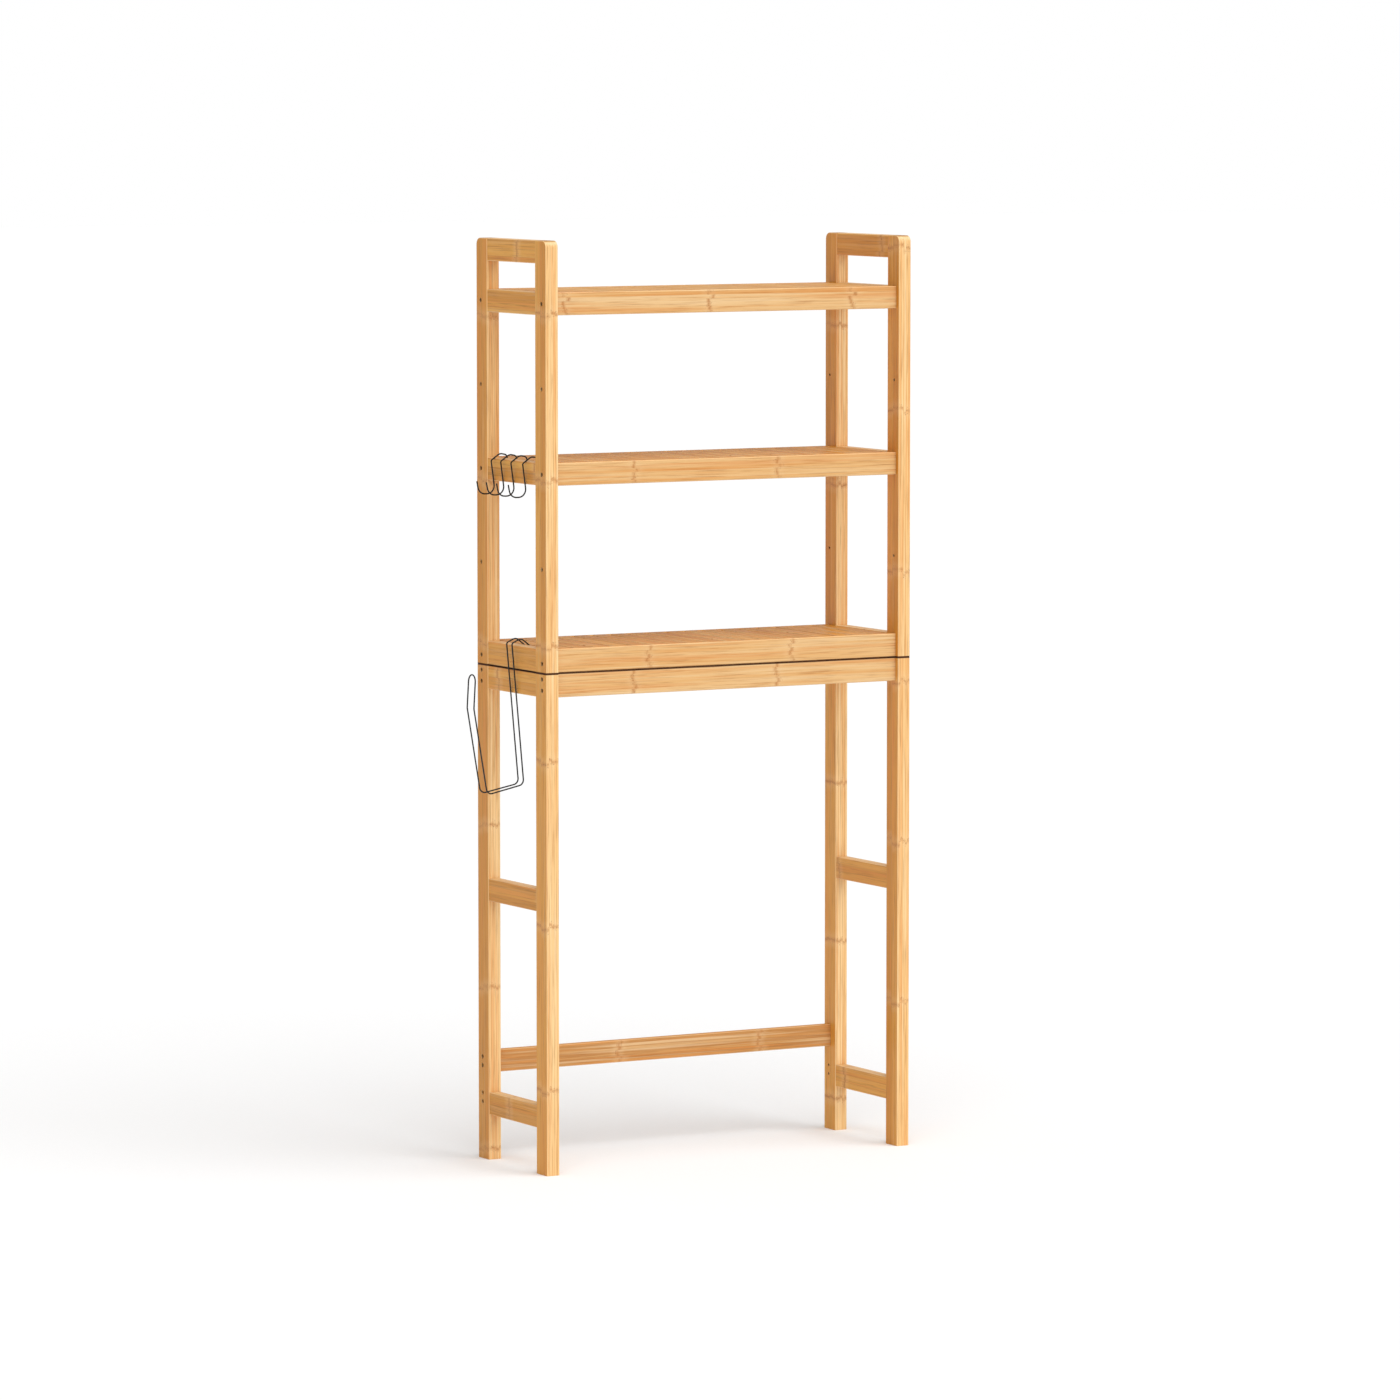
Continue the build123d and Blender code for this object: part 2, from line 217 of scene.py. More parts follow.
def bambooMaterial(name, along, thin, wide, thickness, width, widthShift=0.0, toneAttribute=None,
                   edgeTones="edgeHex"):
    # along, thin and wide are the axes of the bar's length and of its strips' two sides
    # laminated bamboo under thin satin lacquer: strips glued side by side, each with its own
    # honey tone, fine lengthwise fibres, and a soft brown knuckle where the cane had a joint
    material, tree, shader, place = startMaterial(name)
    inMm = addNode(tree, "ShaderNodeVectorMath", {0: place.outputs["Object"], 3: 1 / mm},
                   operation="SCALE")
    axes = addNode(tree, "ShaderNodeSeparateXYZ", {0: inMm})
    facing = addNode(tree, "ShaderNodeSeparateXYZ", {0: place.outputs["Normal"]})
    u, v, w = (axes.outputs[i] for i in (along, thin, wide))

    # strips: the one 1 mm under the surface, so that a face on a glue line has a single strip
    inward = addNode(tree, "ShaderNodeVectorMath", {0: place.outputs["Normal"], 3: -1.0},
                     operation="SCALE")
    under = addNode(tree, "ShaderNodeVectorMath", {0: inMm, 1: inward}, operation="ADD")
    underAxes = addNode(tree, "ShaderNodeSeparateXYZ", {0: under})
    stripV = addNode(tree, calc, {0: underAxes.outputs[thin], 1: thickness}, operation="DIVIDE")
    shiftedW = addNode(tree, calc, {0: underAxes.outputs[wide], 1: widthShift}, operation="ADD")
    stripW = addNode(tree, calc, {0: shiftedW, 1: width}, operation="DIVIDE")
    cellV = addNode(tree, calc, {0: stripV}, operation="FLOOR")
    cellW = addNode(tree, calc, {0: stripW}, operation="FLOOR")
    half = addNode(tree, calc, {0: axes.outputs[2], 1: seamHeight}, operation="GREATER_THAN")
    cell = addNode(tree, "ShaderNodeCombineXYZ", {0: cellV, 1: cellW, 2: half})
    chance = addNode(tree, "ShaderNodeTexWhiteNoise", {"Vector": cell}, noise_dimensions="3D")
    roll = addNode(tree, "ShaderNodeSeparateColor", {0: chance.outputs["Color"]})

    # fibres and streaks: noise drawn out along the bar
    slide = addNode(tree, calc, {0: roll.outputs[0], 1: bamboo["stripSlide"]},
                    operation="MULTIPLY")
    grain = []
    for spacing, length, detail in ((bamboo["fibreSpacing"], bamboo["fibreLength"], 4.0),
                                    (bamboo["streakSpacing"], bamboo["streakLength"], 2.0)):
        drawn = addNode(tree, calc, {0: u, 1: 1 / length, 2: slide}, operation="MULTIPLY_ADD")
        across = addNode(tree, calc, {0: v, 1: 1 / spacing}, operation="MULTIPLY")
        upward = addNode(tree, calc, {0: w, 1: 1 / spacing}, operation="MULTIPLY")
        stretch = addNode(tree, "ShaderNodeCombineXYZ", {0: drawn, 1: across, 2: upward})
        grain.append(addNode(tree, "ShaderNodeTexNoise", {
            "Vector": stretch, "Scale": 1.0, "Detail": detail, "Roughness": 0.6}))
    fibre, streak = grain

    # knuckles: one place per period in a bar, a little off in each strip, with a wavy edge
    period = bamboo["knucklePeriod"]
    barCells = []
    for i in (thin, wide):
        moved = addNode(tree, calc, {0: underAxes.outputs[i], 1: bamboo["barCellShift"]},
                        operation="ADD")
        counted = addNode(tree, calc, {0: moved, 1: bamboo["barCell"]}, operation="DIVIDE")
        barCells.append(addNode(tree, calc, {0: counted}, operation="FLOOR"))
    barPlace = addNode(tree, "ShaderNodeCombineXYZ", {0: barCells[0], 1: barCells[1], 2: half})
    barShift = addNode(tree, "ShaderNodeTexWhiteNoise", {"Vector": barPlace},
                       noise_dimensions="3D").outputs["Value"]
    if toneAttribute:
        own = addNode(tree, "ShaderNodeAttribute", attribute_name=toneAttribute)
        barShift = own.outputs["Fac"]
    wave = addNode(tree, "ShaderNodeTexNoise", {
        "Vector": inMm, "Scale": bamboo["knuckleWaveScale"], "Detail": 1.0})
    shifted = addNode(tree, calc, {0: barShift, 1: period, 2: u}, operation="MULTIPLY_ADD")
    shifted = addNode(tree, calc, {0: roll.outputs[1], 1: bamboo["knuckleJitter"], 2: shifted},
                      operation="MULTIPLY_ADD")
    shifted = addNode(tree, calc, {0: wave, 1: bamboo["knuckleWave"], 2: shifted},
                      operation="MULTIPLY_ADD")
    turns = addNode(tree, calc, {0: shifted, 1: period}, operation="DIVIDE")
    turn = addNode(tree, calc, {0: turns}, operation="FRACT")
    centred = addNode(tree, calc, {0: turn, 1: 0.5}, operation="SUBTRACT")
    signed = addNode(tree, calc, {0: centred, 1: period}, operation="MULTIPLY")
    away = addNode(tree, calc, {0: signed}, operation="ABSOLUTE")
    reach = bamboo["knuckleHalfLength"]
    strong = addNode(tree, remap, {0: roll.outputs[2], 3: 0.35, 4: 1.0})
    band = addNode(tree, remap, {0: away, 1: reach * 1.3, 2: 0.0, 3: 0.0, 4: 0.6},
                   interpolation_type="SMOOTHSTEP")
    band = addNode(tree, calc, {0: band, 1: strong}, operation="MULTIPLY")
    core = addNode(tree, remap, {0: away, 1: 2.6, 2: 0.2, 3: 0.0, 4: 0.22},
                   interpolation_type="SMOOTHSTEP")
    core = addNode(tree, calc, {0: core, 1: strong}, operation="MULTIPLY")
    glow = addNode(tree, remap, {0: away, 1: reach * 4, 2: reach, 3: 0.0, 4: 0.12},
                   interpolation_type="SMOOTHSTEP")
    speckNoise = addNode(tree, "ShaderNodeTexNoise", {"Vector": inMm, "Scale": 0.42,
                                                      "Detail": 1.0})
    speck = addNode(tree, remap, {0: speckNoise, 1: 0.60, 2: 0.68})
    speckZone = addNode(tree, remap, {0: away, 1: reach * 2, 2: reach, 3: 0.0, 4: 0.5})
    speck = addNode(tree, calc, {0: speck, 1: speckZone}, operation="MULTIPLY")

    # which face: flat grain faces the thin way, end grain faces along the bar
    flat = addNode(tree, calc, {0: facing.outputs[thin]}, operation="ABSOLUTE")
    flat = addNode(tree, remap, {0: flat, 1: 0.55, 2: 0.9})
    end = addNode(tree, calc, {0: facing.outputs[along]}, operation="ABSOLUTE")
    end = addNode(tree, remap, {0: end, 1: 0.75, 2: 0.95})

    # flat-grain faces take the deeper tones: partly the grain's own tone, partly painted shade
    toneAt = roll.outputs[2]
    if toneAttribute:
        toneAt = addNode(tree, "ShaderNodeMix", {0: 0.6, 2: toneAt, 3: own.outputs["Fac"]})
    ramps = []
    for tones in (bamboo[edgeTones], bamboo["flatGrainShadedHex"]):
        ramp = addNode(tree, "ShaderNodeValToRGB", {0: toneAt})
        stops = ramp.color_ramp.elements
        stops[0].color, stops[1].color = hexColour(tones[0]), hexColour(tones[2])
        stops.new(0.5).color = hexColour(tones[1])
        ramps.append(ramp)
    colour = addNode(tree, "ShaderNodeMix", {0: flat, 6: ramps[0], 7: ramps[1]},
                     data_type="RGBA")

    # glue lines, fading out 0.7 mm to each side; the real ones are too fine to show
    lines = []
    for strip, size in ((stripV, thickness), (stripW, width)):
        part = addNode(tree, calc, {0: strip}, operation="FRACT")
        fromMiddle = addNode(tree, calc, {0: part, 1: 0.5}, operation="SUBTRACT")
        fromMiddle = addNode(tree, calc, {0: fromMiddle}, operation="ABSOLUTE")
        lines.append(addNode(tree, remap, {0: fromMiddle, 1: 0.5 - 0.7 / size, 2: 0.5}))
    notFlat = addNode(tree, calc, {0: 1.0, 1: flat}, operation="SUBTRACT")
    edgeLine = addNode(tree, calc, {0: lines[0], 1: notFlat}, operation="MULTIPLY")
    glue = addNode(tree, calc, {0: edgeLine, 1: lines[1]}, operation="MAXIMUM")

    # rounded arrises painted paler: a painted highlight
    squareness = [addNode(tree, calc, {0: facing.outputs[i]}, operation="ABSOLUTE")
                  for i in range(3)]
    most = addNode(tree, calc, {0: squareness[0], 1: squareness[1]}, operation="MAXIMUM")
    most = addNode(tree, calc, {0: most, 1: squareness[2]}, operation="MAXIMUM")
    arris = addNode(tree, remap, {0: most, 1: 0.98, 2: 0.80, 3: 0.0, 4: 0.4})

    # painted shade: a dark line along the joint between the halves, and darkening inside holes and
    # narrow corners
    fromSeam = addNode(tree, calc, {0: axes.outputs[2], 1: seamHeight}, operation="SUBTRACT")
    fromSeam = addNode(tree, calc, {0: fromSeam}, operation="ABSOLUTE")
    seam = addNode(tree, remap, {0: fromSeam, 1: bamboo["seamShadeHalfWidth"] + 0.5,
                                 2: bamboo["seamShadeHalfWidth"] - 0.3, 3: 0.0, 4: 0.97})
    # ambient occlusion darkens holes, the joint's groove and inner corners: painted shade
    openness = addNode(tree, "ShaderNodeAmbientOcclusion", {
        "Distance": bamboo["shadeReach"] * mm}, samples=8)
    holeShade = addNode(tree, remap, {0: openness.outputs["AO"], 1: 0.55, 2: 0.2, 3: 0.0, 4: 0.9})

    fibreDark = addNode(tree, remap, {0: fibre, 1: 0.50, 2: 0.28, 3: 0.0, 4: 0.75})
    streakOn = addNode(tree, remap, {0: streak, 1: 0.50, 2: 0.66, 3: 0.0, 4: 0.5})
    paleMost = addNode(tree, remap, {0: flat, 3: 0.42, 4: 0.10})
    streakPale = addNode(tree, remap, {0: streak, 1: 0.48, 2: 0.32, 3: 0.0, 4: paleMost})
    glueOn = addNode(tree, calc, {0: glue, 1: 0.26}, operation="MULTIPLY")
    for factor, tone in ((fibreDark, "fibreHex"), (streakOn, "streakHex"),
                         (streakPale, "paleAndHighlightHex"), (glow, "paleAndHighlightHex"), (band, "knuckleHex"),
                         (speck, "knuckleCoreHex"), (core, "knuckleCoreHex"),
                         (glueOn, "glueHex"), (arris, "paleAndHighlightHex")):
        colour = addNode(tree, "ShaderNodeMix", {0: factor, 6: colour, 7: hexColour(bamboo[tone])},
                         data_type="RGBA")

    # end grain: darker, with the cut fibre bundles as dots
    dots = addNode(tree, "ShaderNodeTexVoronoi", {"Vector": inMm, "Scale": 0.8})
    dot = addNode(tree, remap, {0: dots, 1: 0.35, 2: 0.15, 3: 0.0, 4: 0.6})
    endColour = addNode(tree, "ShaderNodeMix", {0: dot, 6: hexColour(bamboo["endHex"]),
                                                7: hexColour(bamboo["knuckleCoreHex"])},
                        data_type="RGBA")
    colour = addNode(tree, "ShaderNodeMix", {0: end, 6: colour, 7: endColour}, data_type="RGBA")
    for factor, tone in ((seam, "seamShadeHex"), (holeShade, "holeShadeHex")):
        colour = addNode(tree, "ShaderNodeMix", {0: factor, 6: colour, 7: hexColour(bamboo[tone])},
                         data_type="RGBA")
    tree.links.new(colour.outputs[2], shader.inputs["Base Color"])

    # thin satin lacquer, a little drier along the fibres and dull in the joint
    gloss = addNode(tree, remap, {0: fibre, 3: 0.52, 4: 0.38})
    gloss = addNode(tree, calc, {0: seam, 1: 0.5, 2: gloss}, operation="MULTIPLY_ADD")
    tree.links.new(gloss.outputs[0], shader.inputs["Roughness"])
    shader.inputs["Specular IOR Level"].default_value = 0.3
    shader.inputs["Coat Weight"].default_value = 0.06
    shader.inputs["Coat Roughness"].default_value = 0.3
    relief = addNode(tree, calc, {0: band, 1: 0.25, 2: fibre}, operation="MULTIPLY_ADD")
    relief = addNode(tree, calc, {0: glue, 1: -0.5, 2: relief}, operation="MULTIPLY_ADD")
    bump = addNode(tree, "ShaderNodeBump", {"Height": relief, "Strength": 0.3,
                                            "Distance": 0.2 * mm})
    tree.links.new(bump.outputs[0], shader.inputs["Normal"])
    return material


def giveMaterial(names, material):
    for name in names:
        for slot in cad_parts[name].material_slots:
            slot.material = material


uprights = nodeNames("upper_post") + nodeNames("leg_")
sideRails = nodeNames("_rail_")
beams = [name for name in nodeNames("_beam") if "screws" not in name]
giveMaterial(uprights, bambooMaterial(
    "laminatedBambooPost", 2, 0, 1, bamboo["stripThickness"], bamboo["stripWidth"],
    widthShift=bamboo["postShift"]))
giveMaterial(sideRails, bambooMaterial(
    "laminatedBambooRail", 1, 0, 2, bamboo["stripThickness"], bamboo["railStripWidth"]))
giveMaterial(beams, bambooMaterial(
    "laminatedBambooBeam", 0, 2, 1, bamboo["beamStripThickness"], bamboo["stripWidth"]))
# the stretcher takes darker tones as painted shade
giveMaterial(["rear_stretcher"], bambooMaterial(
    "laminatedBambooStretcherShaded", 0, 2, 1, bamboo["stretcherStripThickness"], bamboo["stripWidth"],
    edgeTones="stretcherShadeHex"))
# the slat tops show flat grain, so they take the deeper tones: partly painted shade
slatBamboo = bambooMaterial("laminatedBambooSlat", 1, 2, 0, *bamboo["slatStrip"],
                            toneAttribute="slatTone")
print("bamboo on", len(uprights), "uprights,", len(sideRails), "rails,", len(beams),
      "beams and one stretcher")


# Geometry Nodes: a tree with named inputs, run once, kept as a plain mesh

def newTree(name, sockets):
    tree = bpy.data.node_groups.new(name, "GeometryNodeTree")
    tree.is_modifier = True
    tree.interface.new_socket("Geometry", in_out="INPUT", socket_type="NodeSocketGeometry")
    for label, kind in sockets.items():
        tree.interface.new_socket(label, in_out="INPUT", socket_type="NodeSocket" + kind)
    tree.interface.new_socket("Geometry", in_out="OUTPUT", socket_type="NodeSocketGeometry")
    return tree


def endTree(tree, geometry, material):
    realised = addNode(tree, "GeometryNodeRealizeInstances", {0: geometry})
    painted = addNode(tree, "GeometryNodeSetMaterial", {0: realised, 2: material})
    addNode(tree, "NodeGroupOutput", {0: painted})


def runTree(name, tree, startMesh, values):
    source = bpy.data.objects.new(name + "Source", startMesh)
    bpy.context.scene.collection.objects.link(source)
    modifier = source.modifiers.new("tree", "NODES")
    modifier.node_group = tree
    for item in tree.interface.items_tree:
        if item.in_out == "INPUT" and item.name in values:
            modifier[item.identifier] = values[item.name]
    graph = bpy.context.evaluated_depsgraph_get()
    mesh = bpy.data.meshes.new_from_object(source.evaluated_get(graph),
                                           preserve_all_data_layers=True, depsgraph=graph)
    mesh.name = name
    bpy.data.objects.remove(source)
    piece = bpy.data.objects.new(name, mesh)
    bpy.context.scene.collection.objects.link(piece)
    return piece


def smoothFaces(tree, geometry, sharpAngle):
    # smooth faces that stay crisp at edges turned by more than sharpAngle
    smooth = addNode(tree, "GeometryNodeSetShadeSmooth", {0: geometry, 2: True}, domain="FACE")
    angle = addNode(tree, "GeometryNodeInputMeshEdgeAngle")
    crisp = addNode(tree, "FunctionNodeCompare", {0: angle.outputs[0], 1: sharpAngle},
                    data_type="FLOAT", operation="GREATER_THAN")
    return addNode(tree, "GeometryNodeSetShadeSmooth", {0: smooth, 1: crisp, 2: False},
                   domain="EDGE")


# shelf slats: one per step along the shelf, each with its own tone

slats = {
    "count": 18,
    "width": 26.0,                # mm
    "arris": 1.5,
    "seed": 11,
}


def slatTree():
    tree = newTree("slatRow", {"Count": "Int", "Start": "Vector", "Step": "Vector",
                               "Length": "Float", "Width": "Float", "Thickness": "Float",
                               "Arris": "Float", "Seed": "Int", "Material": "Material"})
    given = addNode(tree, "NodeGroupInput").outputs
    points = addNode(tree, "GeometryNodeMeshLine", {
        0: given["Count"], 2: given["Start"], 3: given["Step"]}, mode="OFFSET")
    section = addNode(tree, "GeometryNodeCurvePrimitiveQuadrilateral", {
        0: given["Width"], 1: given["Thickness"]})
    rounded = addNode(tree, "GeometryNodeFilletCurve", {0: section, 1: 4, 2: given["Arris"]},
                      mode="POLY")
    half = addNode(tree, calc, {0: given["Length"], 1: 0.5}, operation="MULTIPLY")
    back = addNode(tree, calc, {0: half, 1: -1.0}, operation="MULTIPLY")
    lineEnd = addNode(tree, "ShaderNodeCombineXYZ", {1: half})
    lineStart = addNode(tree, "ShaderNodeCombineXYZ", {1: back})
    line = addNode(tree, "GeometryNodeCurvePrimitiveLine", {0: lineStart, 1: lineEnd})
    bar = addNode(tree, "GeometryNodeCurveToMesh", {0: line, 1: rounded, 3: True})
    bar = smoothFaces(tree, bar, 0.7)
    row = addNode(tree, "GeometryNodeInstanceOnPoints", {0: points, 2: bar})
    tone = addNode(tree, "FunctionNodeRandomValue", {2: 0.0, 3: 1.0, 8: given["Seed"]},
                   data_type="FLOAT")
    toned = addNode(tree, "GeometryNodeStoreNamedAttribute", {0: row, 2: "slatTone", 3: tone},
                    data_type="FLOAT", domain="INSTANCE")
    endTree(tree, toned, given["Material"])
    return tree


def layShelf(name, node, tree, seed):
    low, high = (Vector(corner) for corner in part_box(node))
    width = slats["width"] * mm
    step = (high.x - low.x - width) / (slats["count"] - 1)
    start = (low.x + width / 2, (low.y + high.y) / 2, (low.z + high.z) / 2)
    piece = runTree(name, tree, bpy.data.meshes.new(name + "Start"), {
        "Count": slats["count"], "Start": start, "Step": (step, 0.0, 0.0),
        "Length": high.y - low.y, "Width": width, "Thickness": high.z - low.z,
        "Arris": slats["arris"] * mm, "Seed": seed, "Material": slatBamboo})
    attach(piece, "rack")
    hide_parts(node)


slatRow = slatTree()
for index, shelf in enumerate(("top", "middle", "lowest")):
    layShelf(shelf + "ShelfSlats", shelf + "_shelf_slats", slatRow, slats["seed"] + index)
print("slats laid on three shelves")


# furniture screws, heads sunk in the posts: lengths in mm

screw = {
    "headRadius": 3.7,
    "headHeight": 4.0,
    "shankRadius": 2.5,
    "length": 56.0,
    "tipLength": 4.0,
    "hexAcross": 3.0,
    "hexDepth": 2.5,
    "sides": 24,
    "seed": 5,
    "steelHex": ("140B05", "2B1A0E"),
    "wornHex": "5A4B3E",
}


def screwMaterial():
    # steel screw with a dark oxide finish: nearly black, dull, with a slightly worn head rim
    material, tree, shader, place = startMaterial("blackOxideSteel")
    blotch = addNode(tree, "ShaderNodeTexNoise", {"Vector": place.outputs["Object"],
                                                  "Scale": 900.0, "Detail": 3.0})
    low, high = screw["steelHex"]
    ramp = addNode(tree, "ShaderNodeMix", {0: blotch, 6: hexColour(low), 7: hexColour(high)},
                   data_type="RGBA")
    edge = addNode(tree, "ShaderNodeNewGeometry")
    worn = addNode(tree, remap, {0: edge.outputs["Pointiness"], 1: 0.55, 2: 0.7, 3: 0.0, 4: 0.4})
    tone = addNode(tree, "ShaderNodeMix", {0: worn, 6: ramp, 7: hexColour(screw["wornHex"])},
                   data_type="RGBA")
    tree.links.new(tone.outputs[2], shader.inputs["Base Color"])
    dull = addNode(tree, remap, {0: blotch, 3: 0.42, 4: 0.6})
    tree.links.new(dull.outputs[0], shader.inputs["Roughness"])
    shader.inputs["Metallic"].default_value = 0.3
    bump = addNode(tree, "ShaderNodeBump", {"Height": blotch, "Strength": 0.2,
                                            "Distance": 0.05 * mm})
    tree.links.new(bump.outputs[0], shader.inputs["Normal"])
    return material


def screwBlank():
    # one screw along +X, its head's top at the origin: rings from the socket's floor to the tip
    head, shank, length = screw["headRadius"], screw["shankRadius"], screw["length"]
    hexFlat = screw["hexAcross"] / 2
    top = screw["headHeight"]
    # each ring: place along X, radius, and how much of the radius follows the hexagon
    rings = [(-screw["hexDepth"] - 0.3, 0.5, 1.0), (-screw["hexDepth"], 0.96 * hexFlat, 1.0),
             (-0.3, hexFlat, 1.0), (0.0, hexFlat + 0.25, 0.7), (0.0, head - 0.55, 0.0),
             (-0.15, head - 0.2, 0.0), (-0.5, head, 0.0), (-top + 0.3, head, 0.0),
             (-top, head - 0.3, 0.0), (-top, shank, 0.0),
             (-length + screw["tipLength"], shank, 0.0), (-length, shank / 2, 0.0)]
    shape = bmesh.new()
    loops = []
    for x, radius, hexShare in rings:
        loop = []
        for i in range(screw["sides"]):
            angle = 2 * math.pi * i / screw["sides"]
            fromFlat = (angle + math.pi / 6) % (math.pi / 3) - math.pi / 6
            reach = radius * (1 + hexShare * (1 / math.cos(fromFlat) - 1))
            loop.append(shape.verts.new((x * mm, reach * math.cos(angle) * mm,
                                         reach * math.sin(angle) * mm)))
        loops.append(loop)
    for near, far in zip(loops, loops[1:]):
        for i in range(screw["sides"]):
            j = (i + 1) % screw["sides"]
            shape.faces.new((near[i], near[j], far[j], far[i]))
    shape.faces.new(loops[0])
    shape.faces.new(loops[-1])
    bmesh.ops.recalc_face_normals(shape, faces=shape.faces)
    mesh = bpy.data.meshes.new("screwBlank")
    shape.to_mesh(mesh)
    shape.free()
    return mesh


def screwTree():
    # a screw on every point, turned to its side of the rack and driven to its own angle
    tree = newTree("screwSet", {"Blank": "Object", "Seed": "Int", "Material": "Material"})
    given = addNode(tree, "NodeGroupInput").outputs
    points = addNode(tree, "GeometryNodeMeshToPoints", {0: given["Geometry"]})
    blank = addNode(tree, "GeometryNodeObjectInfo", {0: given["Blank"]})
    side = addNode(tree, "GeometryNodeInputNamedAttribute", {0: "halfTurn"}, data_type="FLOAT")
    driven = addNode(tree, "FunctionNodeRandomValue", {2: 0.0, 3: 2 * math.pi, 8: given["Seed"]},
                     data_type="FLOAT")
    turned = addNode(tree, "ShaderNodeCombineXYZ", {0: driven, 2: side.outputs[0]})
    rotation = addNode(tree, "FunctionNodeEulerToRotation", {0: turned})
    crisp = smoothFaces(tree, blank.outputs["Geometry"], 0.6)
    placed = addNode(tree, "GeometryNodeInstanceOnPoints", {0: points, 2: crisp, 5: rotation})
    endTree(tree, placed, given["Material"])
    return tree


def driveScrews():
    heads, halfTurns = [], []
    nodes = nodeNames("_screws")
    for node in nodes:
        low, high = (Vector(corner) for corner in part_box(node))
        rim = screw["headRadius"] * mm
        rows = {round(y, 5) for y in (low.y + rim, high.y - rim)}
        heights = {round(z, 5) for z in (low.z + rim, high.z - rim)}
        for x, halfTurn in ((high.x, 0.0), (low.x, math.pi)):
            for y in sorted(rows):
                for z in sorted(heights):
                    heads.append((x, y, z))
                    halfTurns.append(halfTurn)
    start = bpy.data.meshes.new("screwPoints")
    start.from_pydata(heads, [], [])
    start.attributes.new("halfTurn", "FLOAT", "POINT").data.foreach_set("value", halfTurns)
    blank = bpy.data.objects.new("screwBlank", screwBlank())
    bpy.context.scene.collection.objects.link(blank)
    piece = runTree("frameScrews", screwTree(), start, {
        "Blank": blank, "Seed": screw["seed"], "Material": screwMaterial()})
    bpy.data.objects.remove(blank)
    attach(piece, "rack")
    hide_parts(*nodes)
    return len(heads)


print("screws driven:", driveScrews())


# bent wire: S-hooks and the roll holder, lengths in mm

hookWire = {
    "diameter": 2.58,             # a hair under the frame's wire
    "sides": 12,
    "bendSteps": 8,
    "spacing": 0.6,
    "tipRounding": 1.2,
    "hexes": ("060607", "0F0F11"),
    "wornHex": "1F1F21",
    "metallic": 0.0,
    "specular": 0.3,
}

holderWire = {
    "diameter": 2.58,
    "sides": 12,
    "bendSteps": 8,
    "spacing": 1.5,
    "tipRounding": 0.0,           # a closed loop has no tips
    "legAside": 10.0,             # from the middle plane to the axis of a leg
    "prongAside": 12.75,
    "hexes": ("08090A", "131416"),
    "wornHex": "2C2D30",
    "metallic": 0.0,
    "specular": 0.4,
}


def wireMaterial(name, setup):
    # drawn steel wire with a dark coating: near black with a narrow bright line along its round
    # side, a faint fine speckle and thinner coating in small rubbed patches along its length
    material, tree, shader, place = startMaterial(name)
    run = addNode(tree, "ShaderNodeAttribute", attribute_name="alongWire")
    fine = addNode(tree, "ShaderNodeTexNoise", {"Vector": place.outputs["Object"],
                                                "Scale": 1500.0, "Detail": 2.0})
    along = addNode(tree, calc, {0: run.outputs["Fac"], 1: 60.0}, operation="MULTIPLY")
    patches = addNode(tree, "ShaderNodeTexNoise", {"W": along, "Scale": 1.0, "Detail": 3.0},
                      noise_dimensions="1D")
    low, high = setup["hexes"]
    tone = addNode(tree, "ShaderNodeMix", {0: fine, 6: hexColour(low), 7: hexColour(high)},
                   data_type="RGBA")
    rubbed = addNode(tree, remap, {0: patches, 1: 0.60, 2: 0.75, 3: 0.0, 4: 0.5})
    worn = addNode(tree, "ShaderNodeMix", {0: rubbed, 6: tone, 7: hexColour(setup["wornHex"])},
                   data_type="RGBA")
    tree.links.new(worn.outputs[2], shader.inputs["Base Color"])
    gloss = addNode(tree, remap, {0: patches, 3: 0.26, 4: 0.42})
    tree.links.new(gloss.outputs[0], shader.inputs["Roughness"])
    shader.inputs["Metallic"].default_value = setup["metallic"]
    shader.inputs["Specular IOR Level"].default_value = setup["specular"]
    bump = addNode(tree, "ShaderNodeBump", {"Height": fine, "Strength": 0.15,
                                            "Distance": 0.04 * mm})
    tree.links.new(bump.outputs[0], shader.inputs["Normal"])
    return material


